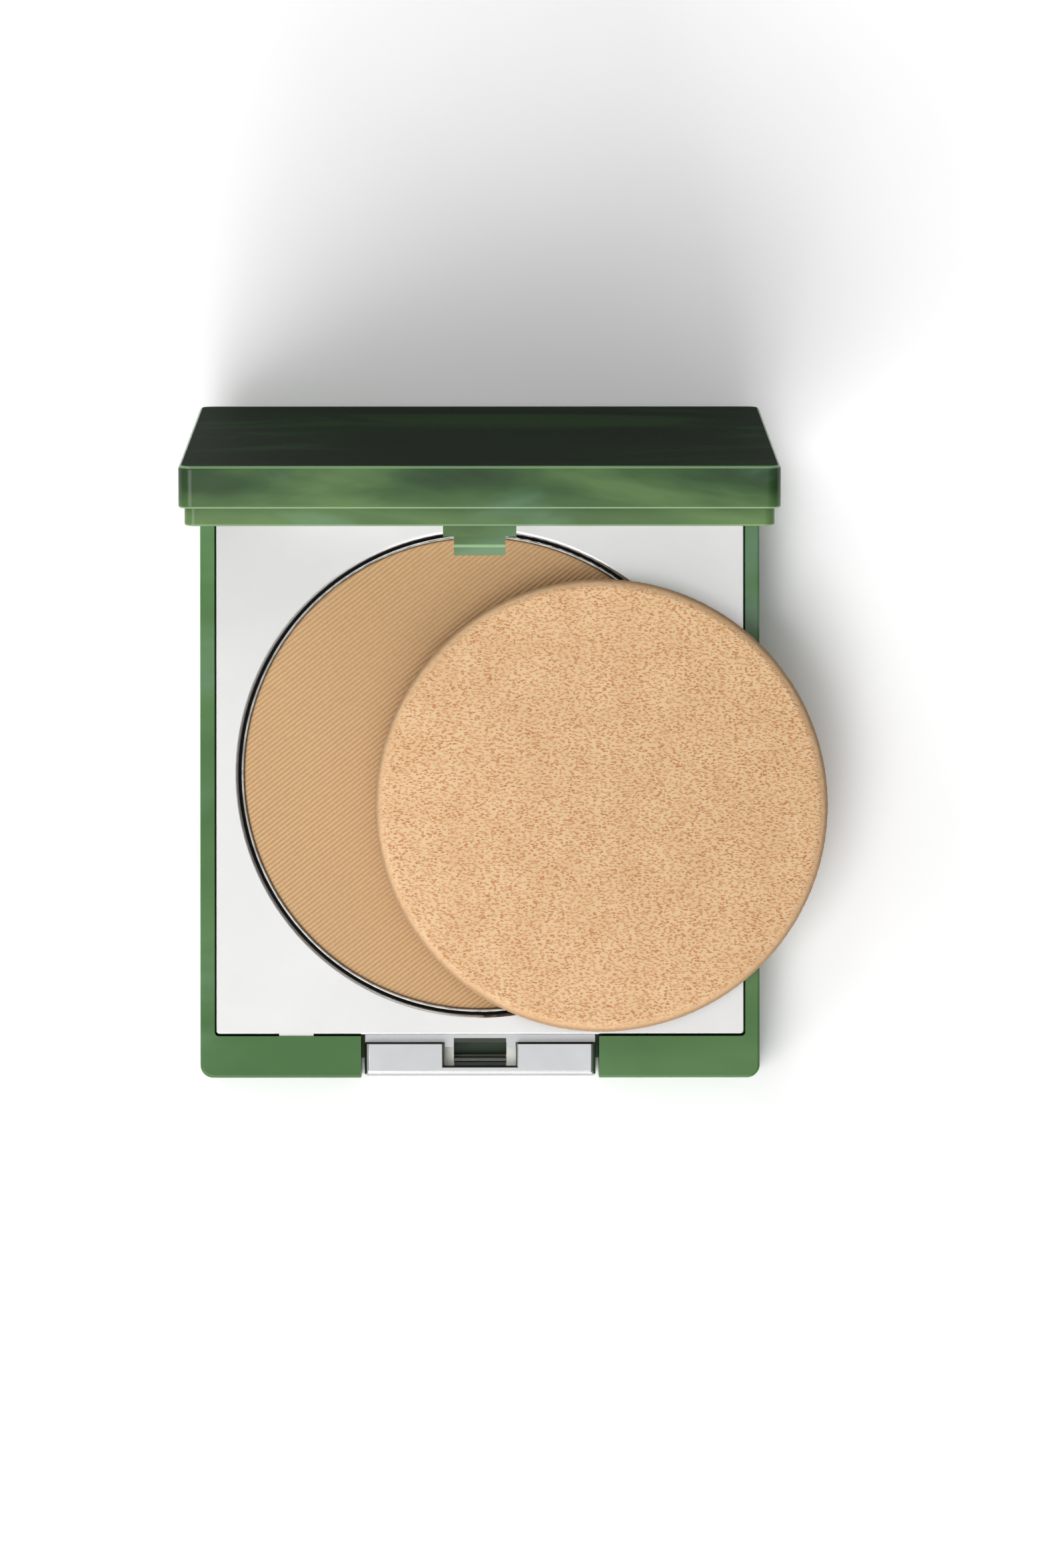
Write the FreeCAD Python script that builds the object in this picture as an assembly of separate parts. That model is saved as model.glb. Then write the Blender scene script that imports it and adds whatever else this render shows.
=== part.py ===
import FreeCAD, Part
import math
import os

from FreeCAD import Vector

# Square pressed-powder compact, in millimetres. The origin is the middle of the base's flat
# underside, +Z is up, the push-button is toward -Y and the hinge toward +Y.
# The lid is modelled shut and then turned open to its stored angle.

# ---- driving dimensions -------------------------------------------------------------------
WIDTH = 70.0                 # across X
DEPTH = 78.0                 # across Y
CORNER = 1.6                 # plan radius of the four outer corners
RIM_Z = 8.5                  # height of the base's rim
FLOOR = 1.2                  # base floor thickness
SIDE_WALL = 1.8              # base side wall thickness
FRONT_WALL = 5.2             # depth of the solid blocks on each side of the button
LID_BODY = 5.02              # height of the lid's full-width part
REVEAL_HEIGHT = 2.08         # height of the stepped-in band that makes the shadow groove
REVEAL_INSET = 0.7           # how far that band steps in
LID_TOP = 1.2                # thickness of the lid's top
LID_OPEN = 82.5              # stored lid angle from shut, in degrees

HINGE_BEHIND = 2.1           # hinge axis, in from the rear face
HINGE_BELOW = 0.9            # hinge axis, below the rim
BARREL_R = 2.75              # barrel on the base
KNUCKLE_R = 2.7              # knuckle on the lid
KNUCKLE_HALF = 19.8          # half length of the lid's knuckle
KNUCKLE_GAP = 0.2            # end gap between knuckle and barrel
PIN_R = 0.6                  # hinge pin
PIN_RUNNING = 0.05           # radial clearance of the pin in the knuckle
PIN_INNER_X = 13.0           # inner end of each pin

PAN_Y = -0.91                # the pan sits a little in front of the middle
PAN_R = 29.88                # outer radius of the pan
PAN_WALL = 0.36              # pan sheet thickness
PAN_TOP = 7.95               # pan rim height
HOLE_R = 30.2                # hole in the insert plate
WELL_WALL = 0.8              # wall of the well under that hole
WELL_FLOOR_Z = 4.75          # top of the well's floor
GLUE = 0.15                  # adhesive under the pan
POWDER_TOP = 7.55            # top of the pressed powder

PLATE_TOP = 8.1              # top of the insert plate
PLATE = 0.5                  # insert plate thickness
PLATE_REAR = 33.8            # rear edge of the plate, clear of the hinge barrel
APRON_TOP = 6.9              # top of the lower strip in front of the plate
APRON_HALF = 14.4            # half width of that strip
APRON_DEPTH = 1.0            # how far that strip stands out toward the button
SNAP_X = -23.0               # middle of the snap tab on the plate's front edge
SNAP_HALF = 2.15             # half width of the snap tab

OPENING_HALF = 14.9          # half width of the gap in the base's front wall
BUTTON_HALF = 14.45          # half width of the button
BUTTON_FRONT = -38.8         # front face of the button
BUTTON_TOP = 8.4
BUTTON_BOTTOM = 0.7
BUTTON_WALL = 1.3            # front wall of the button
BLOCK_REAR = -34.55          # rear edge of the button's two raised blocks
BLOCK_BOTTOM = 7.0
NOTCH_HALF = 4.55            # half width of the notch between the blocks
TRAVEL = 0.6                 # how far the button goes in

SLOT_HALF = 3.3              # half width of the slot that takes the hook
CATCH_TOP = 6.35             # catch plate in the notch
CATCH_BOTTOM = 5.65
CATCH_EDGE = -34.65          # edge that holds the hook's tooth
WINDOW_REAR = -34.1          # rear edge of the hook's window in the silver strip
HOOK_HALF = 3.0
HOOK_FRONT = -35.9
HOOK_REAR = -34.75
HOOK_TIP_Z = 4.75
TOOTH = 0.55                 # how far the tooth stands out toward the rear
SHOULDER_HALF = 4.27
SHOULDER_BOTTOM = 7.1

MIRROR = 1.0                 # mirror glass thickness
MIRROR_HALF = 31.8
MIRROR_FRONT = -34.2
MIRROR_REAR = 33.0
TAPE = 0.15                  # double-sided tape behind the mirror

SPONGE_R = 28.24
SPONGE_THICK = 4.5
SPONGE_SHIFT = Vector(15.15, -4.0, 0)   # where the loose sponge lies, from its place over the pan
SPONGE_GAP = 0.05            # gap between the rim and the sponge

# ---- worked out from them -------------------------------------------------------------------
HALF_W = WIDTH / 2
HALF_D = DEPTH / 2
FRONT = -HALF_D
AXIS_Y = HALF_D - HINGE_BEHIND
AXIS_Z = RIM_Z - HINGE_BELOW
INNER_X = HALF_W - SIDE_WALL
INNER_FRONT = FRONT + FRONT_WALL
INNER_REAR = HALF_D - SIDE_WALL
STEP_X = HALF_W - REVEAL_INSET
STEP_Z = RIM_Z + REVEAL_HEIGHT
SHUT_TOP = STEP_Z + LID_BODY
CEILING = SHUT_TOP - LID_TOP
BORE_R = PIN_R + PIN_RUNNING
WELL_R = HOLE_R + WELL_WALL
WELL_BOTTOM = WELL_FLOOR_Z - WELL_WALL
PAN_BOTTOM = WELL_FLOOR_Z + GLUE
PLATE_FRONT = INNER_FRONT + 0.2
APRON_FRONT = PLATE_FRONT - APRON_DEPTH

os.makedirs("parts", exist_ok=True)


# ---- helpers --------------------------------------------------------------------------------
def box(x0, x1, y0, y1, z0, z1):
    """A box from its lowest to its highest corner."""
    return Part.makeBox(x1 - x0, y1 - y0, z1 - z0, Vector(x0, y0, z0))


def slab(x0, x1, y0, y1, z0, z1, radius):
    """A box whose four upright edges are rounded."""
    solid = box(x0, x1, y0, y1, z0, z1)
    upright = [e for e in solid.Edges if abs(e.tangentAt(e.FirstParameter).z) > 0.9]
    return solid.makeFillet(radius, upright)


def along_x(x0, x1, y, z, radius):
    """A cylinder lying along X."""
    return Part.makeCylinder(radius, x1 - x0, Vector(x0, y, z), Vector(1, 0, 0))


def disc(x, y, z0, z1, radius):
    """A cylinder standing along Z."""
    return Part.makeCylinder(radius, z1 - z0, Vector(x, y, z0), Vector(0, 0, 1))


def edges_at_height(shape, z, inside=None):
    """The edges that lie wholly at one height, and within an (x0, x1, y0, y1) window if given."""
    found = []
    for edge in shape.Edges:
        b = edge.BoundBox
        if abs(b.ZMin - z) > 0.001 or abs(b.ZMax - z) > 0.001:
            continue
        if inside:
            x0, x1, y0, y1 = inside
            if b.XMin < x0 or b.XMax > x1 or b.YMin < y0 or b.YMax > y1:
                continue
        found.append(edge)
    return found


def side_profile(points, x0, x1):
    """A closed outline of (y, z) corners, drawn out along X."""
    corners = [Vector(x0, y, z) for y, z in points]
    wire = Part.makePolygon(corners + corners[:1])
    return Part.Face(wire).extrude(Vector(x1 - x0, 0, 0))


def mirrored(shape):
    """The same shape on the other side of the X = 0 plane."""
    return shape.mirror(Vector(0, 0, 0), Vector(1, 0, 0))


def both_sides(shape):
    """The shape and its mirror image, fused."""
    return shape.fuse(mirrored(shape))


def fuse_all(shapes):
    """All the shapes as one clean solid."""
    return shapes[0].multiFuse(shapes[1:]).removeSplitter()


def save(shape, name):
    """Write one closed solid as its own STEP file."""
    solids = shape.Solids
    if len(solids) != 1 or not shape.isValid():
        raise RuntimeError("%s is not one valid solid: %d" % (name, len(solids)))
    solids[0].exportStep("parts/%s.step" % name)


# ---- base -----------------------------------------------------------------------------------
def base_shell():
    """Moulded tray: floor, walls, two front blocks, hinge barrels and the ribs inside."""
    body = slab(-HALF_W, HALF_W, FRONT, HALF_D, 0, RIM_Z, CORNER)
    body = body.makeFillet(0.6, edges_at_height(body, 0))
    body = body.makeFillet(0.35, edges_at_height(body, RIM_Z))
    pocket = slab(-INNER_X, INNER_X, INNER_FRONT, INNER_REAR, FLOOR, RIM_Z + 1, 0.5)
    gap = box(-OPENING_HALF, OPENING_HALF, FRONT - 1, INNER_FRONT + 1, FLOOR, RIM_Z + 1)
    floor_gap = box(-OPENING_HALF, OPENING_HALF, FRONT - 1, FRONT + 2.25, -1, FLOOR + 1)
    body = body.cut(pocket).cut(gap).cut(floor_gap)

    barrel_x0 = KNUCKLE_HALF + KNUCKLE_GAP
    barrel = along_x(barrel_x0, STEP_X, AXIS_Y, AXIS_Z, BARREL_R)
    barrel = barrel.common(box(0, HALF_W, 0, HALF_D, 0, 20))
    rear_rib = box(barrel_x0, INNER_X + 0.5, INNER_REAR - 1.8, INNER_REAR + 0.5, 0.6, AXIS_Z)

    # the floor carries posts for the plate, ribs under the well, and the button's stops
    posts = [disc(28.5, y, 0.6, PLATE_TOP - PLATE, 1.6) for y in (-28.5, 28.5)]
    stop = box(12.3, OPENING_HALF + 0.5, INNER_FRONT - 0.4, INNER_FRONT + 0.8, 0.6, 3.2)
    spring_seat = box(8.2, 11.8, -28.2, -27.4, 0.6, 3.7)
    half = [barrel, rear_rib, stop, spring_seat] + posts
    ribs = [
        box(-10, 10, PAN_Y - 0.5, PAN_Y + 0.5, 0.6, WELL_BOTTOM),
        box(-0.5, 0.5, PAN_Y - 10, PAN_Y + 10, 0.6, WELL_BOTTOM),
    ]
    body = fuse_all([body] + half + [mirrored(s) for s in half] + ribs)

    # between the barrels the rear wall is cut down to let the lid's knuckle turn
    room_z = AXIS_Z - KNUCKLE_R - 0.25
    room = box(-barrel_x0, barrel_x0, INNER_REAR - 3, HALF_D + 1, room_z, RIM_Z + 3)
    bore = both_sides(along_x(barrel_x0 - 1, HALF_W + 1, AXIS_Y, AXIS_Z, PIN_R))
    recess = disc(0, 18, -1, 0.1, 13.2)
    return body.cut(room).cut(bore).cut(recess)


def insert_plate():
    """Metallised inner tray: flat plate, well for the pan and the low strip at the catch."""
    front = PLATE_FRONT
    plate = slab(-INNER_X + 0.1, INNER_X - 0.1, front, PLATE_REAR, PLATE_TOP - PLATE, PLATE_TOP, 0.5)
    well = disc(0, PAN_Y, WELL_BOTTOM, PLATE_TOP - PLATE / 2, WELL_R)
    apron_z = APRON_TOP - PLATE
    drop = box(-APRON_HALF, APRON_HALF, front, front + PLATE, apron_z, PLATE_TOP - PLATE / 2)
    apron = box(-APRON_HALF, APRON_HALF, APRON_FRONT, front + PLATE, apron_z, APRON_TOP)
    tab = box(-NOTCH_HALF + 0.1, NOTCH_HALF - 0.1, APRON_FRONT - 0.6, front, apron_z, APRON_TOP)
    snap = box(SNAP_X - SNAP_HALF, SNAP_X + SNAP_HALF, INNER_FRONT + 0.02, front + 0.5,
               PLATE_TOP - PLATE, PLATE_TOP)
    body = fuse_all([plate, well, drop, apron, tab, snap])
    body = body.cut(disc(0, PAN_Y, WELL_FLOOR_Z, PLATE_TOP + 1, HOLE_R))
    body = body.cut(box(-SLOT_HALF, SLOT_HALF, front - 3, WINDOW_REAR, apron_z - 1, APRON_TOP + 1))
    hole_edge = [
        e for e in edges_at_height(body, PLATE_TOP) if abs(e.BoundBox.XLength - 2 * HOLE_R) < 0.01
    ]
    body = body.makeFillet(0.42, hole_edge)
    outline = (-INNER_X, INNER_X, front - 0.01, PLATE_REAR + 0.01)
    rest = [
        e for e in edges_at_height(body, PLATE_TOP, outline)
        if abs(e.BoundBox.XLength - 2 * HOLE_R) > 2
    ]
    return body.makeFillet(0.2, rest)


def powder_pan():
    """Pressed aluminium pan with a thin upright rim."""
    outer = disc(0, PAN_Y, PAN_BOTTOM, PAN_TOP, PAN_R)
    outer = outer.makeFillet(0.6, edges_at_height(outer, PAN_BOTTOM))
    inner = disc(0, PAN_Y, PAN_BOTTOM + PAN_WALL, PAN_TOP + 1, PAN_R - PAN_WALL)
    inner = inner.makeFillet(0.3, edges_at_height(inner, PAN_BOTTOM + PAN_WALL))
    pan = outer.cut(inner)
    return pan.makeFillet(0.12, edges_at_height(pan, PAN_TOP))


def powder_cake():
    """The pressed powder that fills the pan to just below its rim."""
    cake = disc(0, PAN_Y, PAN_BOTTOM + PAN_WALL, POWDER_TOP, PAN_R - PAN_WALL - 0.01)
    cake = cake.makeFillet(0.32, edges_at_height(cake, PAN_BOTTOM + PAN_WALL))
    return cake.makeFillet(0.25, edges_at_height(cake, POWDER_TOP))


def hinge_pin():
    """The pin on the +X side, pushed in from the side wall; its ends are chamfered."""
    pin = along_x(PIN_INNER_X, HALF_W - 0.3, AXIS_Y, AXIS_Z, PIN_R)
    return pin.makeChamfer(0.12, [e for e in pin.Edges if abs(e.BoundBox.XLength) < 0.001])


def button_spring():
    """Return spring on the +X side, coiled along Y between the slider and its seat."""
    wire_r = 0.13
    coil_r = 0.85
    start = -31.5 + wire_r
    length = 3.3 - 2 * wire_r
    path = Part.makeHelix(length / 6, length, coil_r)
    ring = Part.Wire(Part.makeCircle(wire_r, Vector(coil_r, 0, 0), Vector(0, 1, 0)))
    spring = Part.Wire(path).makePipeShell([ring], True, True)
    spring.rotate(Vector(0, 0, 0), Vector(1, 0, 0), -90)
    spring.translate(Vector(10, start, 2.55))
    return spring


# ---- push-button ------------------------------------------------------------------------------
def push_button():
    """Plated front piece: a front wall, two raised blocks and the notch between them."""
    wall = box(-BUTTON_HALF, BUTTON_HALF, BUTTON_FRONT, BUTTON_FRONT + BUTTON_WALL,
               BUTTON_BOTTOM, BUTTON_TOP)
    top = box(-BUTTON_HALF, BUTTON_HALF, BUTTON_FRONT, BLOCK_REAR, BLOCK_BOTTOM, BUTTON_TOP)
    end = box(BUTTON_HALF - 1, BUTTON_HALF, BUTTON_FRONT, APRON_FRONT - TRAVEL - 0.2,
              FLOOR + 0.2, BLOCK_BOTTOM + 0.5)
    body = fuse_all([wall, top, both_sides(end)])
    notch = box(-NOTCH_HALF, NOTCH_HALF, BUTTON_FRONT + BUTTON_WALL, 0, BLOCK_BOTTOM - 1, 20)
    body = body.cut(notch)
    corners = [
        e for e in body.Edges
        if abs(e.BoundBox.ZLength - (BUTTON_TOP - BLOCK_BOTTOM)) < 0.01
        and abs(abs(e.BoundBox.XMin) - NOTCH_HALF) < 0.01
        and abs(e.BoundBox.YMin - BLOCK_REAR) < 0.01
    ]
    body = body.makeFillet(0.3, corners)
    outer = [
        e for e in body.Edges
        if e.BoundBox.YMax < BUTTON_FRONT + 0.001 and e.BoundBox.ZLength > 1
    ]
    body = body.makeFillet(0.4, outer)
    front_top = [e for e in edges_at_height(body, BUTTON_TOP) if e.BoundBox.YMax < BUTTON_FRONT + 0.5]
    body = body.makeFillet(0.7, front_top)
    rear_top = [e for e in edges_at_height(body, BUTTON_TOP) if e.BoundBox.YMin > BUTTON_FRONT + 0.9]
    return body.makeFillet(0.3, rear_top)


def button_slider():
    """Natural-colour moulding behind the button: catch plate, cheeks, cam bar and guide plate."""
    front = BUTTON_FRONT + BUTTON_WALL
    plate_half = NOTCH_HALF - 0.05
    catch = box(-plate_half, plate_half, front, -33.0, CATCH_BOTTOM, CATCH_TOP)
    slot = box(-SLOT_HALF, SLOT_HALF, front + 0.35, CATCH_EDGE, CATCH_BOTTOM - 1, CATCH_TOP + 1)
    cheek = box(SLOT_HALF, SLOT_HALF + 0.8, front, -34.7, 2.4, CATCH_BOTTOM + 0.1)
    bar = box(-SLOT_HALF - 0.1, SLOT_HALF + 0.1, -36.65, -36.05, 4.2, 5.1)
    bar = bar.makeFillet(0.28, [e for e in edges_at_height(bar, 5.1) if e.BoundBox.XLength > 1])
    guide = box(-12.0, 12.0, front, -31.5, 1.4, 2.6)
    guide = guide.cut(box(-SLOT_HALF, SLOT_HALF, front + 0.35, -33.6, 1, 3))
    ear = box(11.5, 13.3, -32.9, -31.5, 1.4, 2.6)
    spigot = box(8.8, 11.2, -33.0, -31.5, 1.4, 3.6)
    return fuse_all([
        catch.cut(slot), both_sides(cheek), bar, guide, both_sides(ear), both_sides(spigot),
    ])


# ---- lid, modelled shut -------------------------------------------------------------------------
def lid_shell():
    """Moulded lid: top, walls, stepped-in band, mirror frame, hinge knuckle and hook."""
    body = slab(-HALF_W, HALF_W, FRONT, HALF_D, STEP_Z, SHUT_TOP, CORNER)
    body = body.makeFillet(0.45, edges_at_height(body, SHUT_TOP))
    body = body.makeFillet(0.3, edges_at_height(body, STEP_Z))
    step_y = HALF_D - REVEAL_INSET
    band = slab(-STEP_X, STEP_X, -step_y, step_y, RIM_Z, STEP_Z + 1, CORNER - 0.4)
    band = band.makeFillet(0.25, edges_at_height(band, RIM_Z))
    body = fuse_all([body, band])
    cavity_x = STEP_X - 1.6
    cavity = slab(-cavity_x, cavity_x, -step_y + 1.8, AXIS_Y, RIM_Z - 1,
                  CEILING - MIRROR - TAPE - 0.05, 1.0)
    body = body.cut(cavity)
    frame = slab(-MIRROR_HALF - 0.1, MIRROR_HALF + 0.1, MIRROR_FRONT - 0.1, MIRROR_REAR + 0.1,
                 RIM_Z, CEILING, 1.1)
    body = body.cut(frame)

    # room for the base's barrels, then the knuckle between them
    groove = both_sides(along_x(KNUCKLE_HALF, HALF_W + 1, AXIS_Y, AXIS_Z, BARREL_R + 0.22))
    rear_lip = both_sides(box(KNUCKLE_HALF, HALF_W + 1, AXIS_Y - 0.5, HALF_D + 1, RIM_Z - 1, STEP_Z))
    body = body.cut(groove).cut(rear_lip)
    knuckle = along_x(-KNUCKLE_HALF, KNUCKLE_HALF, AXIS_Y, AXIS_Z, KNUCKLE_R)
    knuckle = knuckle.common(box(-HALF_W, HALF_W, 0, HALF_D - 0.2, 0, 20))
    neck = box(-KNUCKLE_HALF, KNUCKLE_HALF, AXIS_Y - 1.7, AXIS_Y + 1.4, AXIS_Z, STEP_Z + 0.8)
    body = fuse_all([body, knuckle, neck])
    bore = both_sides(along_x(PIN_INNER_X - 0.4, KNUCKLE_HALF + 1, AXIS_Y, AXIS_Z, BORE_R))
    return fuse_all([body.cut(bore), hook()])


def hook():
    """Root rib, two shoulders and the hook, whose tooth points to the rear."""
    root = box(-SHOULDER_HALF, SHOULDER_HALF, -36.7, HOOK_REAR, SHOULDER_BOTTOM, CEILING - 0.5)
    chamfer_top = 5.95
    tooth_top = CATCH_BOTTOM - 0.05
    tip_rear = HOOK_REAR + TOOTH
    neck = side_profile(
        [
            (HOOK_FRONT, SHOULDER_BOTTOM + 0.5),
            (HOOK_FRONT, chamfer_top),
            (HOOK_FRONT + 0.7, HOOK_TIP_Z),
            (tip_rear - 0.3, HOOK_TIP_Z),
            (tip_rear, HOOK_TIP_Z + 0.3),
            (tip_rear, tooth_top),
            (HOOK_REAR, tooth_top),
            (HOOK_REAR, SHOULDER_BOTTOM + 0.5),
        ],
        -HOOK_HALF, HOOK_HALF,
    )
    bend = [
        e for e in neck.Edges
        if abs(e.BoundBox.YMin - HOOK_FRONT) < 0.001 and abs(e.BoundBox.ZMin - chamfer_top) < 0.001
        and e.BoundBox.ZLength < 0.001
    ]
    return fuse_all([root, neck.makeFillet(0.5, bend)])


def mirror_glass():
    """Flat mirror set in its frame, with softened edges."""
    face = CEILING - TAPE - MIRROR
    glass = slab(-MIRROR_HALF, MIRROR_HALF, MIRROR_FRONT, MIRROR_REAR, face, face + MIRROR, 1.0)
    return glass.makeChamfer(0.2, edges_at_height(glass, face))


def mirror_tape():
    """Foam tape between the mirror and the lid."""
    half = MIRROR_HALF - 2
    return slab(-half, half, MIRROR_FRONT + 2, MIRROR_REAR - 2, CEILING - TAPE, CEILING, 1.0)


def opened(shape):
    """Turn a piece of the shut lid to its stored angle about the hinge."""
    turned = shape.copy()
    turned.rotate(Vector(0, AXIS_Y, AXIS_Z), Vector(-1, 0, 0), LID_OPEN)
    return turned


# ---- loose sponge -------------------------------------------------------------------------------
def sponge():
    """Round foam puff with rounded edges, lying off to one side on the rim."""
    low = RIM_Z + SPONGE_GAP
    high = low + SPONGE_THICK
    place = Vector(0, PAN_Y, 0) + SPONGE_SHIFT
    puff = disc(place.x, place.y, low, high, SPONGE_R)
    return puff.makeFillet(0.9, edges_at_height(puff, low) + edges_at_height(puff, high))


# ---- write the pieces -----------------------------------------------------------------------------
save(base_shell(), "base_shell")
save(insert_plate(), "insert_plate")
save(powder_pan(), "powder_pan")
save(powder_cake(), "powder_cake")
for number in range(3):
    angle = math.radians(90 + 120 * number)
    glue_x = 16 * math.cos(angle)
    glue_y = PAN_Y + 16 * math.sin(angle)
    save(disc(glue_x, glue_y, WELL_FLOOR_Z, PAN_BOTTOM, 4.0), "pan_glue_%d" % (number + 1))
save(disc(0, 18, 0.02, 0.1, 13.0), "base_label")
save(hinge_pin(), "hinge_pin_right")
save(mirrored(hinge_pin()), "hinge_pin_left")
save(button_spring(), "button_spring_right")
save(mirrored(button_spring()), "button_spring_left")
save(push_button(), "push_button")
save(button_slider(), "button_slider")
save(opened(lid_shell()), "lid_shell")
save(opened(mirror_glass()), "mirror_glass")
save(opened(mirror_tape()), "mirror_tape")
save(sponge(), "sponge_applicator")
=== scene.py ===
import math

import bpy
import numpy as np
from mathutils import Euler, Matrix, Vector


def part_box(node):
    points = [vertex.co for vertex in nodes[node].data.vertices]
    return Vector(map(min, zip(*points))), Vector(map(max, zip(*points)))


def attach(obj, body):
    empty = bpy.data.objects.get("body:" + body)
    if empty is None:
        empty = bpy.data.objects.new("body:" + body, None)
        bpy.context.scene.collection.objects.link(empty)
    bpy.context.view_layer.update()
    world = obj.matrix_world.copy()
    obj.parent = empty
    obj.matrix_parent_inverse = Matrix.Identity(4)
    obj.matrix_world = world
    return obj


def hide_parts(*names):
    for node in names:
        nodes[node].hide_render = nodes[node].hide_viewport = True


# Looks for a square pressed-powder compact, in metres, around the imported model.
# +Z is up, the push-button is toward -Y and the open lid stands at +Y.

MM = 0.001

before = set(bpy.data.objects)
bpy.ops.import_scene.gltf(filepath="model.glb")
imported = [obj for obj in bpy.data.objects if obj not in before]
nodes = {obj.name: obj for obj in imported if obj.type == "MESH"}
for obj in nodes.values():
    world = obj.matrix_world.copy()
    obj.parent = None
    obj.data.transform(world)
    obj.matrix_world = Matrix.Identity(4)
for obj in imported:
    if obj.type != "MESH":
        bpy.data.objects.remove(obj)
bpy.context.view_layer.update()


# ---- camera ------------------------------------------------------------------------------------
CAMERA_AT = (0.28 * MM, 1.7 * MM, 1037 * MM)
CAMERA_PITCH = -0.22         # degrees about X, from straight down
CAMERA_YAW = -0.281          # degrees about Y
CAMERA_ROLL = -0.033         # degrees about Z
CAMERA_LENS = 188.7          # for a 36 mm long side


def make_camera():
    """A long lens straight above, turned a hair off the vertical."""
    data = bpy.data.cameras.new("camera")
    data.sensor_width = 36
    data.lens = CAMERA_LENS
    data.clip_start = 0.01
    data.clip_end = 20
    camera = bpy.data.objects.new("camera", data)
    camera.location = CAMERA_AT
    angles = [math.radians(a) for a in (CAMERA_PITCH, CAMERA_YAW, CAMERA_ROLL)]
    camera.rotation_euler = Euler(angles, "XYZ")
    bpy.context.scene.collection.objects.link(camera)
    bpy.context.scene.camera = camera


# ---- light and floor -----------------------------------------------------------------------------
def soft_light(name, at, size, power):
    """A square soft box that faces the middle of the model."""
    data = bpy.data.lights.new(name, "AREA")
    data.shape = "SQUARE"
    data.size = size
    data.energy = power
    light = bpy.data.objects.new(name, data)
    light.location = at
    light.rotation_euler = Vector(at).to_track_quat("Z", "Y").to_euler()
    bpy.context.scene.collection.objects.link(light)


def make_lights():
    """A key from the front left, a strip in front, a fill behind and a dome bright overhead."""
    soft_light("key", (-0.62, -0.8, 1.6), 1.1, 18.0)
    soft_light("front_strip", (0.0, -1.5, 0.95), 0.9, 9.0)
    soft_light("back_fill", (-0.9, 1.1, 1.25), 0.9, 11.0)
    world = bpy.data.worlds.new("studio")
    world.use_nodes = True
    bpy.context.scene.world = world
    tree = world.node_tree
    background = tree.nodes["Background"]
    background.inputs["Color"].default_value = (1, 1, 1, 1)
    place = tree.nodes.new("ShaderNodeTexCoord")
    split = tree.nodes.new("ShaderNodeSeparateXYZ")
    tree.links.new(place.outputs["Generated"], split.inputs[0])
    above = world_range(tree, split.outputs["Z"], 0.86, 0.97, 0.0, 1.25)
    toward = tree.nodes.new("ShaderNodeVectorMath")
    toward.operation = "DOT_PRODUCT"
    toward.inputs[1].default_value = (-0.5, -0.82, 0.26)
    tree.links.new(place.outputs["Generated"], toward.inputs[0])
    side = world_range(tree, toward.outputs["Value"], -0.6, 0.9, 0.06, 0.75)
    brighter = tree.nodes.new("ShaderNodeMath")
    brighter.operation = "MAXIMUM"
    tree.links.new(above, brighter.inputs[0])
    tree.links.new(side, brighter.inputs[1])
    tree.links.new(brighter.outputs[0], background.inputs["Strength"])
    settings = bpy.context.scene.view_settings
    settings.view_transform = "Standard"
    settings.look = "None"


def world_range(tree, value, low, high, to_low, to_high):
    """The value moved smoothly from low..high to to_low..to_high."""
    node = tree.nodes.new("ShaderNodeMapRange")
    node.interpolation_type = "SMOOTHSTEP"
    for name, number in zip(("From Min", "From Max", "To Min", "To Max"), (low, high, to_low, to_high)):
        node.inputs[name].default_value = number
    tree.links.new(value, node.inputs["Value"])
    return node.outputs[0]


def make_floor():
    """A plain pale sheet under the model."""
    mesh = bpy.data.meshes.new("floor")
    half = 2.5
    corners = [(-half, -half, 0), (half, -half, 0), (half, half, 0), (-half, half, 0)]
    mesh.from_pydata(corners, [], [(0, 1, 2, 3)])
    floor = bpy.data.objects.new("floor", mesh)
    bpy.context.scene.collection.objects.link(floor)
    surface = Surface("floor_paper", roughness=0.9)
    tone = surface.noise(40, detail=2)
    surface.colour(surface.ramp(tone, [(0.3, (0.93, 0.93, 0.93)), (0.7, (0.95, 0.95, 0.95))]))
    mesh.materials.append(surface.material)


# ---- material helpers ------------------------------------------------------------------------------
def tint(red, green, blue):
    """A linear colour from 0 to 255 screen values."""
    linear = []
    for value in (red, green, blue):
        v = value / 255
        linear.append(v / 12.92 if v <= 0.04045 else ((v + 0.055) / 1.055) ** 2.4)
    return tuple(linear)


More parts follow.
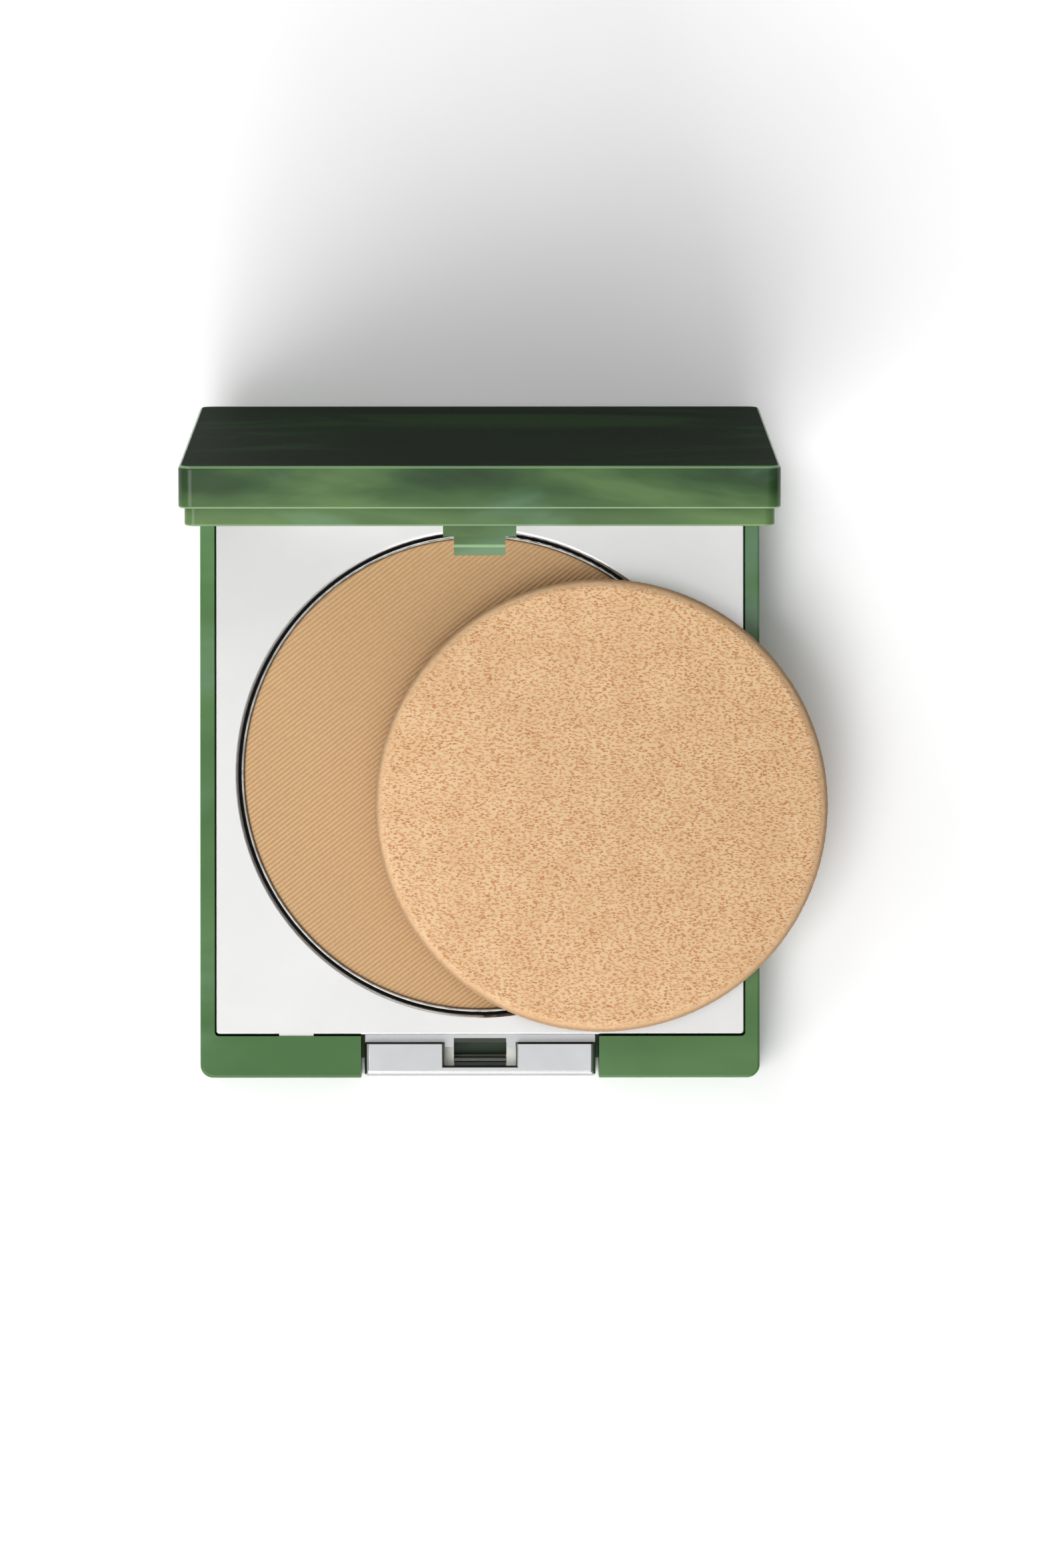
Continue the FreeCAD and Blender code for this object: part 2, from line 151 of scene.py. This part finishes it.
class Surface:
    """One procedural material in object coordinates, and short ways to add nodes to it."""

    def __init__(self, name, roughness=0.5, metallic=0.0, specular=0.5):
        self.material = bpy.data.materials.new(name)
        self.material.use_nodes = True
        self.tree = self.material.node_tree
        self.shader = self.tree.nodes["Principled BSDF"]
        self.shader.inputs["Roughness"].default_value = roughness
        self.shader.inputs["Metallic"].default_value = metallic
        self.shader.inputs["Specular IOR Level"].default_value = specular
        self.place = self.tree.nodes.new("ShaderNodeTexCoord")

    def link(self, source, target):
        self.tree.links.new(source, target)

    def colour(self, value):
        self.link(value, self.shader.inputs["Base Color"])

    def roughness(self, value):
        self.link(value, self.shader.inputs["Roughness"])

    def coordinates(self, stretch=(1, 1, 1), turn=(0, 0, 0), shift=(0, 0, 0)):
        """Object coordinates turned by degrees, then stretched."""
        turned = self.tree.nodes.new("ShaderNodeMapping")
        turned.inputs["Rotation"].default_value = [math.radians(a) for a in turn]
        turned.inputs["Location"].default_value = shift
        self.link(self.place.outputs["Object"], turned.inputs["Vector"])
        scaled = self.tree.nodes.new("ShaderNodeMapping")
        scaled.inputs["Scale"].default_value = stretch
        self.link(turned.outputs[0], scaled.inputs["Vector"])
        return scaled.outputs[0]

    def noise(self, scale, detail=3, stretch=(1, 1, 1), turn=(0, 0, 0), shift=(0, 0, 0),
              distortion=0.0):
        node = self.tree.nodes.new("ShaderNodeTexNoise")
        node.inputs["Scale"].default_value = scale
        node.inputs["Detail"].default_value = detail
        node.inputs["Distortion"].default_value = distortion
        self.link(self.coordinates(stretch, turn, shift), node.inputs["Vector"])
        return node.outputs["Fac"]

    def ramp(self, value, stops):
        """A colour ramp from (place, colour) stops."""
        node = self.tree.nodes.new("ShaderNodeValToRGB")
        elements = node.color_ramp.elements
        while len(elements) < len(stops):
            elements.new(0.5)
        for element, (place, colour) in zip(elements, stops):
            element.position = place
            element.color = (*colour, 1)
        self.link(value, node.inputs[0])
        return node.outputs["Color"]

    def mask(self, value, low, high, to_low=0.0, to_high=1.0):
        """The value moved from the range low..high into to_low..to_high, smoothly."""
        node = self.tree.nodes.new("ShaderNodeMapRange")
        node.interpolation_type = "SMOOTHSTEP"
        node.inputs["From Min"].default_value = low
        node.inputs["From Max"].default_value = high
        node.inputs["To Min"].default_value = to_low
        node.inputs["To Max"].default_value = to_high
        self.link(value, node.inputs["Value"])
        return node.outputs[0]

    def math(self, operation, a, b=None):
        node = self.tree.nodes.new("ShaderNodeMath")
        node.operation = operation
        for socket, value in zip(node.inputs, (a, b)):
            if value is None:
                continue
            if isinstance(value, (int, float)):
                socket.default_value = value
            else:
                self.link(value, socket)
        return node.outputs[0]

    def mix(self, share, first, second, blend="MIX"):
        """Two colours mixed by a share, which is a number or a socket."""
        node = self.tree.nodes.new("ShaderNodeMix")
        node.data_type = "RGBA"
        node.blend_type = blend
        for socket, value in ((node.inputs[0], share), (node.inputs[6], first), (node.inputs[7], second)):
            if isinstance(value, tuple):
                socket.default_value = (*value, 1)
            elif isinstance(value, (int, float)):
                socket.default_value = value
            else:
                self.link(value, socket)
        return node.outputs[2]

    def bump(self, height, distance, strength=1.0, after=None):
        """Adds a bump of that distance in metres, on top of an earlier one if given."""
        node = self.tree.nodes.new("ShaderNodeBump")
        node.inputs["Strength"].default_value = strength
        node.inputs["Distance"].default_value = distance
        self.link(height, node.inputs["Height"])
        if after is not None:
            self.link(after, node.inputs["Normal"])
        self.link(node.outputs[0], self.shader.inputs["Normal"])
        return node.outputs[0]

    def facing(self, direction):
        """How far the surface faces a direction fixed to the piece, from -1 to 1."""
        node = self.tree.nodes.new("ShaderNodeVectorMath")
        node.operation = "DOT_PRODUCT"
        node.inputs[1].default_value = direction
        self.link(self.place.outputs["Normal"], node.inputs[0])
        return node.outputs["Value"]

    def along(self, axis):
        """The object coordinate along "X", "Y" or "Z", in metres; Z is height in the base."""
        node = self.tree.nodes.new("ShaderNodeSeparateXYZ")
        self.link(self.place.outputs["Object"], node.inputs[0])
        return node.outputs[axis]


# ---- materials -----------------------------------------------------------------------------------
COAT = 0.6                   # weight of the gloss skin on the green plastic
LID_ANGLE = 82.5             # degrees, how far open the lid stands at rest
HOOK_REACH = 3.3 * MM        # how far the lid's hook stands out past its band
HOOK_BEND = 1.1 * MM         # from the hook's end to its bend


def marbled_green(name, greens, cloud, size, clouds, turn=(0, 0, 0)):
    """Moulded plastic under a gloss skin, with soft green swirls and pale blue-green clouds."""
    surface = Surface(name, roughness=0.6, specular=0.0)
    surface.shader.inputs["Coat Weight"].default_value = COAT
    surface.shader.inputs["Coat Roughness"].default_value = 0.2
    swirl = surface.noise(1 / size, detail=4, stretch=(0.42, 1, 1), turn=turn, distortion=0.45)
    streak = surface.noise(3 / size, detail=3, stretch=(0.2, 1, 1), turn=turn, distortion=0.35)
    broad = surface.math("MULTIPLY", swirl, 0.75)
    fine = surface.math("MULTIPLY", streak, 0.25)
    field = surface.math("ADD", broad, fine)
    body = surface.ramp(field, list(zip((0.38, 0.47, 0.53, 0.62), greens)))
    drift = surface.noise(1.2 / size, detail=3, stretch=(0.5, 1, 1), shift=(0.02, 0.05, 0.03),
                          distortion=0.7)
    share = surface.mask(drift, 0.46, 0.72, 0.0, clouds)
    surface.colour(surface.mix(share, body, cloud))
    polish = surface.noise(420, detail=2)
    surface.roughness(surface.mask(polish, 0.3, 0.7, 0.5, 0.7))
    surface.bump(surface.noise(700, detail=2), 0.003 * MM, 0.5)
    return surface


def base_plastic():
    greens = (tint(62, 98, 52), tint(67, 104, 57), tint(72, 109, 61), tint(82, 118, 72))
    return marbled_green("green_plastic_base", greens, tint(98, 128, 106), 0.02, 0.8).material


def lid_plastic():
    """The same plastic, swirled more strongly, with painted shade on the outer face and painted
    highlights along its edges and across the hook's bend.
    """
    greens = (tint(26, 52, 22), tint(38, 66, 31), tint(50, 80, 40), tint(76, 104, 58))
    surface = marbled_green("green_plastic_lid", greens, tint(88, 124, 104), 0.012, 0.6, (0, 0, 6))
    swirled = surface.shader.inputs["Base Color"].links[0].from_socket

    # paler toward the stepped-in band, on the side away from the outer face
    depth = surface.along("Y")
    near_band = surface.mask(depth, 28.5 * MM, 32.5 * MM, 0.34, 0.0)
    swirled = surface.mix(near_band, swirled, tint(112, 142, 88))

    angle = math.radians(LID_ANGLE)
    outward = (0, math.sin(angle), math.cos(angle))
    # painted shade: the outer face, turned away from the lights, is given near-black greens in place of
    # the swirl
    outer = surface.mask(surface.facing(outward), 0.93, 0.995)
    smear = surface.noise(70, detail=4, stretch=(0.35, 1, 0.8), distortion=0.9)
    shade_tones = (tint(14, 28, 12), tint(18, 34, 15), tint(27, 48, 22))
    painted_shade = surface.ramp(smear, list(zip((0.36, 0.5, 0.64), shade_tones)))
    # painted highlights: pale lines along the lid's rounded edges, stopped short of the hook, and one
    # across the hook's bend
    turned = surface.math("ABSOLUTE", surface.facing(outward))
    edge = surface.math("MULTIPLY", surface.mask(turned, 0.2, 0.45), surface.mask(turned, 0.93, 0.8))
    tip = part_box("lid_shell")[0].y
    beyond_hook = surface.mask(depth, tip + HOOK_REACH, tip + HOOK_REACH + 0.2 * MM)
    edge = surface.math("MULTIPLY", edge, beyond_hook)
    from_bend = surface.math("ABSOLUTE", surface.math("SUBTRACT", depth, tip + HOOK_BEND))
    bend = surface.mask(from_bend, 0.24 * MM, 0.08 * MM)
    edge = surface.math("MAXIMUM", edge, bend)
    highlighted = surface.mix(surface.math("MULTIPLY", edge, 0.75), swirled, tint(134, 168, 122))
    surface.colour(surface.mix(outer, highlighted, painted_shade))
    surface.link(surface.mask(outer, 0, 1, COAT, 0.06), surface.shader.inputs["Coat Weight"])
    return surface.material


def plate_silver():
    """Vacuum-metallised plastic with a fine satin grain; painted shade greys the front apron and turns
    the deep well round the pan near-black.
    """
    surface = Surface("silver_plate", roughness=0.34, metallic=1.0)
    tone = surface.noise(70, detail=3)
    silver = surface.ramp(tone, [(0.3, (0.56, 0.558, 0.552)), (0.7, (0.6, 0.597, 0.593))])
    # painted shade: the apron below the plate's top is coloured greyer
    step = surface.mask(surface.along("Z"), 7.1 * MM, 7.7 * MM)
    silver = surface.mix(step, (0.42, 0.425, 0.43), silver)
    # painted shade: the well below the plate goes near-black, except along the front strip
    depth = surface.mask(surface.along("Z"), 5.4 * MM, 6.6 * MM)
    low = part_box("insert_plate")[0].y
    strip = surface.mask(surface.along("Y"), low + 3.0 * MM, low + 2.2 * MM)
    outside_well_shade = surface.math("MAXIMUM", depth, strip)
    surface.colour(surface.mix(outside_well_shade, (0.02, 0.02, 0.018), silver))
    grain = surface.noise(9000, detail=2, stretch=(0.4, 1, 1))
    surface.roughness(surface.mask(grain, 0.3, 0.7, 0.3, 0.4))
    surface.bump(grain, 0.003 * MM, 0.5)
    return surface.material


def chrome():
    """Bright plating with faint ripples; a near-black painted reflection lines the rear edge of the
    button's top.
    """
    surface = Surface("button_chrome", roughness=0.1, metallic=1.0)
    tone = surface.noise(200, detail=2)
    plated = surface.ramp(tone, [(0.3, (0.49, 0.493, 0.5)), (0.7, (0.535, 0.538, 0.545))])
    # painted reflection: the rounded rear edge of the button's top is coloured near-black
    painted_reflection = surface.mask(surface.facing((0, 0.7071, 0.7071)), 0.75, 0.84)
    surface.colour(surface.mix(painted_reflection, plated, (0.015, 0.015, 0.014)))
    haze = surface.noise(1500, detail=2)
    surface.roughness(surface.mask(haze, 0.3, 0.7, 0.07, 0.13))
    surface.bump(surface.noise(160, detail=2), 0.01 * MM, 0.4)
    return surface.material


SLOT_DARK_HALF = 3.2 * MM    # half width of the latch slot's unlit middle


def natural_plastic():
    """Unpigmented, slightly cloudy moulding; painted shade turns the strip across the slot's middle
    near-black.
    """
    surface = Surface("natural_plastic", roughness=0.4)
    tone = surface.noise(300, detail=3, distortion=0.5)
    cloudy = surface.ramp(tone, [(0.3, tint(206, 207, 198)), (0.7, tint(220, 221, 214))])
    # painted shade: the slot's middle, out of the light, is coloured near-black
    across = surface.math("ABSOLUTE", surface.along("X"))
    slot_shade = surface.mask(across, SLOT_DARK_HALF + 0.15 * MM, SLOT_DARK_HALF)
    surface.colour(surface.mix(slot_shade, cloudy, (0.022, 0.024, 0.016)))
    surface.roughness(surface.mask(surface.noise(900), 0.3, 0.7, 0.34, 0.46))
    surface.bump(surface.noise(1400, detail=2), 0.008 * MM, 0.4)
    return surface.material


def aluminium():
    """Rolled sheet with drawing marks round the wall; painted shade turns the wall below the bright rim
    near-black.
    """
    surface = Surface("pan_aluminium", roughness=0.25, metallic=1.0)
    marks = surface.noise(700, detail=2, stretch=(1, 1, 14))
    bright = surface.ramp(marks, [(0.3, (0.26, 0.25, 0.24)), (0.7, (0.42, 0.41, 0.39))])
    # painted shade: below the rim the pan's wall is coloured near-black
    rim = surface.mask(surface.along("Z"), 6.9 * MM, 7.5 * MM)
    surface.colour(surface.mix(rim, (0.03, 0.028, 0.025), bright))
    surface.roughness(surface.mask(marks, 0.3, 0.7, 0.18, 0.34))
    surface.bump(marks, 0.006 * MM, 0.5)
    return surface.material


def steel(name, bright):
    """Drawn wire with marks along it."""
    surface = Surface(name, roughness=0.22, metallic=1.0)
    marks = surface.noise(1200, detail=2, stretch=(0.2, 1, 1))
    dull = tuple(0.8 * c for c in bright)
    surface.colour(surface.ramp(marks, [(0.3, dull), (0.7, bright)]))
    surface.roughness(surface.mask(marks, 0.3, 0.7, 0.16, 0.3))
    surface.bump(marks, 0.004 * MM, 0.4)
    return surface.material


def mirror_silver():
    """Mirror with the faintest unevenness in its polish."""
    surface = Surface("mirror", roughness=0.02, metallic=1.0)
    tone = surface.noise(40, detail=2)
    surface.colour(surface.ramp(tone, [(0.3, (0.9, 0.91, 0.91)), (0.7, (0.93, 0.94, 0.94))]))
    surface.roughness(surface.mask(surface.noise(260), 0.4, 0.7, 0.01, 0.035))
    return surface.material


def tape_and_glue():
    """Slightly lumpy off-white adhesive."""
    surface = Surface("adhesive", roughness=0.6)
    tone = surface.noise(500, detail=3)
    surface.colour(surface.ramp(tone, [(0.3, tint(206, 204, 190)), (0.7, tint(226, 224, 212))]))
    surface.bump(surface.noise(1800, detail=3), 0.03 * MM, 0.5)
    return surface.material


def label_paper():
    """Blank paper with its fibres."""
    surface = Surface("label_paper", roughness=0.7)
    fibre = surface.noise(2600, detail=4, stretch=(0.5, 1, 1))
    surface.colour(surface.ramp(fibre, [(0.3, tint(222, 224, 220)), (0.7, tint(236, 237, 234))]))
    surface.bump(fibre, 0.006 * MM, 0.5)
    return surface.material


RIB_TURN = 38.0              # degrees, direction of the powder's ribs from +X
RIB_PITCH = 0.5 * MM
RIB_DEPTH = 0.12 * MM


def powder():
    """Pressed powder with a fine cross grain; painted shade colours the grooves between the ribs deeper
    than the crests.
    """
    surface = Surface("pressed_powder", roughness=0.95, specular=0.15)
    wave = surface.tree.nodes.new("ShaderNodeTexWave")
    wave.wave_type = "BANDS"
    wave.bands_direction = "Y"
    wave.wave_profile = "SIN"
    wave.inputs["Scale"].default_value = 2 * math.pi / (20 * RIB_PITCH)
    wave.inputs["Distortion"].default_value = 0.0
    surface.link(surface.coordinates(turn=(0, 0, -RIB_TURN)), wave.inputs["Vector"])
    crest = wave.outputs["Fac"]
    grain = surface.noise(3800, detail=3, stretch=(1.6, 0.7, 1), turn=(0, 0, -RIB_TURN))
    drift = surface.noise(45, detail=3)
    # painted shade: the grooves are coloured deeper than the crests
    ribs = surface.ramp(crest, [(0.0, tint(177, 141, 101)), (1.0, tint(203, 169, 129))])
    soft = surface.mix(surface.mask(drift, 0.3, 0.7, 0.0, 0.3), ribs, tint(187, 153, 113))
    speck = surface.ramp(grain, [(0.25, (0.88, 0.86, 0.83)), (0.7, (1.0, 1.0, 1.0))])
    surface.colour(surface.mix(1.0, soft, speck, "MULTIPLY"))
    cross = surface.noise(2600, detail=2, stretch=(2.4, 0.5, 1), turn=(0, 0, -RIB_TURN))
    first = surface.bump(cross, 0.03 * MM, 0.5)
    surface.bump(grain, 0.02 * MM, 0.5, after=first)
    return surface.material


def dashes(surface, spacing, shift):
    """Short wiggly dashes lying mostly along X, one to each cell of that spacing, from 0 to 1."""
    tree = surface.tree
    wander = tree.nodes.new("ShaderNodeTexNoise")
    wander.inputs["Scale"].default_value = 1 / (0.45 * MM)
    wander.inputs["Detail"].default_value = 2
    spot = surface.coordinates(stretch=(0.5, 1, 1), shift=shift)
    surface.link(surface.place.outputs["Object"], wander.inputs["Vector"])
    centred = tree.nodes.new("ShaderNodeVectorMath")
    centred.operation = "SUBTRACT"
    centred.inputs[1].default_value = (0.5, 0.5, 0.5)
    surface.link(wander.outputs["Color"], centred.inputs[0])
    sway = tree.nodes.new("ShaderNodeVectorMath")
    sway.operation = "SCALE"
    sway.inputs["Scale"].default_value = 0.9 * spacing
    surface.link(centred.outputs["Vector"], sway.inputs[0])
    moved = tree.nodes.new("ShaderNodeVectorMath")
    moved.operation = "ADD"
    surface.link(spot, moved.inputs[0])
    surface.link(sway.outputs["Vector"], moved.inputs[1])
    cells = tree.nodes.new("ShaderNodeTexVoronoi")
    cells.voronoi_dimensions = "2D"
    cells.inputs["Scale"].default_value = 1 / spacing
    surface.link(moved.outputs["Vector"], cells.inputs["Vector"])
    return surface.mask(cells.outputs["Distance"], 0.34, 0.1)


def sponge_foam():
    """Peach latex foam: short wiggly pores on its faces and a smoother skin round its edge; painted shade
    deepens the pores and the edge band.
    """
    surface = Surface("sponge_foam", roughness=0.95, specular=0.2)
    pore = surface.math(
        "MAXIMUM", dashes(surface, 0.43 * MM, (0.3, 0.1, 0)), dashes(surface, 0.33 * MM, (0.7, 0.4, 0)),
    )
    level = surface.math("ABSOLUTE", surface.facing((0, 0, 1)))
    pore = surface.math("MULTIPLY", pore, surface.mask(level, 0.8, 0.97, 0.25, 1.0))
    tone = surface.noise(240, detail=3)
    skin = surface.ramp(tone, [(0.3, tint(209, 173, 133)), (0.7, tint(217, 184, 145))])
    # painted shade: the pores are real hollows, coloured a deeper orange-brown where shade falls into
    # them
    pit = surface.noise(1100, detail=1)
    depth = surface.ramp(pit, [(0.34, tint(184, 122, 74)), (0.6, tint(207, 156, 110))])
    # painted shade: the rounded edge band is coloured browner and deeper than the faces
    band = surface.mask(level, 0.97, 0.6)
    skin = surface.mix(band, skin, tint(170, 138, 106))
    surface.colour(surface.mix(pore, skin, depth))
    hollow = surface.math("MULTIPLY", pore, -1.0)
    first = surface.bump(hollow, 0.08 * MM, 0.6)
    surface.bump(surface.noise(2600, detail=3), 0.04 * MM, 0.5, after=first)
    return surface.material


# ---- pieces made here ------------------------------------------------------------------------------
def add_piece(name, points, faces, material):
    """A smooth-shaded mesh piece."""
    mesh = bpy.data.meshes.new(name)
    mesh.from_pydata(points, [], faces)
    mesh.validate()
    mesh.update()
    mesh.materials.append(material)
    mesh.polygons.foreach_set("use_smooth", [True] * len(mesh.polygons))
    piece = bpy.data.objects.new(name, mesh)
    bpy.context.scene.collection.objects.link(piece)
    return piece


def ribbed_powder():
    """The powder's pressed face: parallel ribs, clipped to the pan and rounded down at its wall."""
    low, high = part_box("powder_cake")
    centre = (low + high) / 2
    radius = (high.x - low.x) / 2
    round_r = 0.25 * MM          # rounding at the pan's wall
    fade_over = 0.8 * MM         # the ribs die out over this distance from the wall
    rows = int(2 * radius / (RIB_PITCH / 6))
    along = 48                   # cells along each row
    turn = math.radians(RIB_TURN)
    rims = [0.0, 0.015, 0.045, 0.09, 0.16, round_r / MM]
    points = []
    for row in range(rows + 1):
        across = -radius + 2 * radius * row / rows
        across = max(min(across, radius * 0.99999), -radius * 0.99999)
        ends = [math.sqrt(max((radius - d * MM) ** 2 - across ** 2, 0)) for d in rims]
        inner = ends[-1]
        middle = [inner * (1 - 2 * k / along) for k in range(1, along)]
        line = ends + middle + [-v for v in reversed(ends)]
        for v in line:
            gap = radius - math.hypot(across, v)
            drop = 0.0
            if gap < round_r:
                drop = round_r - math.sqrt(max(round_r ** 2 - (round_r - gap) ** 2, 0))
            x = centre.x + v * math.cos(turn) - across * math.sin(turn)
            y = centre.y + v * math.sin(turn) + across * math.cos(turn)
            phase = 2 * math.pi * (y * math.cos(turn) - x * math.sin(turn)) / RIB_PITCH
            crest = 0.5 + 0.5 * math.sin(phase - math.pi / 2)
            fade = min(gap / fade_over, 1.0)
            z = high.z - drop - RIB_DEPTH * (1 - crest) * fade
            points.append((x, y, z))
    width = len(rims) * 2 + along - 1
    faces = []
    for row in range(rows):
        for k in range(width - 1):
            a = row * width + k
            faces.append((a, a + width, a + width + 1, a + 1))
    rim = [row * width for row in range(rows + 1)]
    rim += [row * width + width - 1 for row in range(rows, -1, -1)]
    skirt = len(points)
    for index in rim:
        x, y, _ = points[index]
        points.append((x, y, low.z))
    count = len(rim)
    for k in range(count):
        n = (k + 1) % count
        faces.append((rim[k], rim[n], skirt + n, skirt + k))
    faces.append(tuple(skirt + k for k in range(count)))
    return add_piece("powder_pressed", points, faces, powder())


def disc_grid(count, radius):
    """A square grid of count cells a side, pressed into a disc: points and quads."""
    line = np.linspace(-1, 1, count + 1)
    u, v = np.meshgrid(line, line)
    x = u * np.sqrt(1 - v ** 2 / 2)
    y = v * np.sqrt(1 - u ** 2 / 2)
    points = np.stack([x.ravel(), y.ravel()], 1) * radius
    start = (np.arange(count)[:, None] * (count + 1) + np.arange(count)[None, :]).ravel()
    quads = np.stack([start, start + 1, start + count + 2, start + count + 1], 1)
    return points, quads


def grid_rim(count):
    """The indices round the outside of a disc_grid, counter-clockwise."""
    wide = count + 1
    rim = list(range(count))
    rim += [k * wide + count for k in range(count)]
    rim += [count * wide + k for k in range(count, 0, -1)]
    rim += [k * wide for k in range(count, 0, -1)]
    return rim


def foam_sponge():
    """A round foam puff: open-pored faces, rounded edges and a slightly bulging side."""
    low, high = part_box("sponge_applicator")
    centre = (low + high) / 2
    radius = (high.x - low.x) / 2
    cells = 200                  # across each face
    bevel = 1.15 * MM            # rounding between a face and the side
    face_r = radius - bevel
    flat, quads = disc_grid(cells, face_r)
    rim = grid_rim(cells)
    seed = np.random.default_rng(7)
    deepest_dip = 0.06 * MM

    # the side profile, from the upper face's edge round to the lower face's edge
    edge = []
    first_slope = math.radians(40)
    for k in range(1, 8):
        a = first_slope + (math.pi / 2 - first_slope) * k / 8
        out = (math.sin(a) - math.sin(first_slope)) / (1 - math.sin(first_slope))
        down = (math.cos(first_slope) - math.cos(a)) / math.cos(first_slope)
        edge.append((face_r + bevel * out, bevel * down))
    profile = [(r, high.z - drop) for r, drop in edge]
    for k in range(9):
        share = k / 8
        z = (high.z - bevel) * (1 - share) + (low.z + bevel) * share
        profile.append((radius - 0.12 * MM * math.sin(math.pi * share), z))
    profile += [(r, low.z + drop) for r, drop in reversed(edge)]

    top = [(x, y, high.z) for x, y in flat]
    points = list(top)
    faces = [tuple(q) for q in quads.tolist()]
    rings = [rim]
    for ring_r, z in profile:
        start = len(points)
        for index in rim:
            x, y = flat[index]
            stretch = ring_r / face_r
            points.append((x * stretch, y * stretch, z))
        rings.append(list(range(start, start + len(rim))))
    under = len(points)
    points += [(x, y, low.z) for x, y in flat]
    rings.append([under + index for index in rim])
    faces += [tuple(under + index for index in reversed(q)) for q in quads.tolist()]
    for upper, lower in zip(rings, rings[1:]):
        for k in range(len(rim)):
            n = (k + 1) % len(rim)
            faces.append((upper[k], lower[k], lower[n], upper[n]))

    # small uneven dips all over, never outward past the box
    cloud = np.array(points)
    away = np.hypot(cloud[:, 0], cloud[:, 1])
    dips = seed.random(len(cloud)) ** 2 * deepest_dip
    on_side = away > face_r + 0.2 * MM
    inward = 1 - dips / np.maximum(away, 1e-6)
    cloud[on_side, 0] *= inward[on_side]
    cloud[on_side, 1] *= inward[on_side]
    on_top = cloud[:, 2] > high.z - 0.3 * MM
    on_bottom = cloud[:, 2] < low.z + 0.3 * MM
    cloud[on_top, 2] -= dips[on_top]
    cloud[on_bottom, 2] += dips[on_bottom]
    cloud[:, 0] += centre.x
    cloud[:, 1] += centre.y
    return add_piece("sponge_puff", cloud.tolist(), faces, sponge_foam())


# ---- put it together ---------------------------------------------------------------------------------
def dress(names, material):
    """Gives CAD nodes their material."""
    for name in names:
        mesh = nodes[name].data
        mesh.materials.clear()
        mesh.materials.append(material)


make_camera()
make_lights()
make_floor()

dress(["base_shell"], base_plastic())
dress(["lid_shell"], lid_plastic())
dress(["insert_plate"], plate_silver())
dress(["push_button"], chrome())
dress(["button_slider"], natural_plastic())
dress(["powder_pan"], aluminium())
dress(["hinge_pin_left", "hinge_pin_right"], steel("pin_steel", (0.62, 0.61, 0.6)))
dress(["button_spring_left", "button_spring_right"], steel("spring_steel", (0.5, 0.5, 0.52)))
dress(["mirror_glass"], mirror_silver())
dress(["mirror_tape", "pan_glue_1", "pan_glue_2", "pan_glue_3"], tape_and_glue())
dress(["base_label"], label_paper())

powder_piece = ribbed_powder()
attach(powder_piece, "base")
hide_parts("powder_cake")

sponge_piece = foam_sponge()
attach(sponge_piece, "sponge")
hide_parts("sponge_applicator")
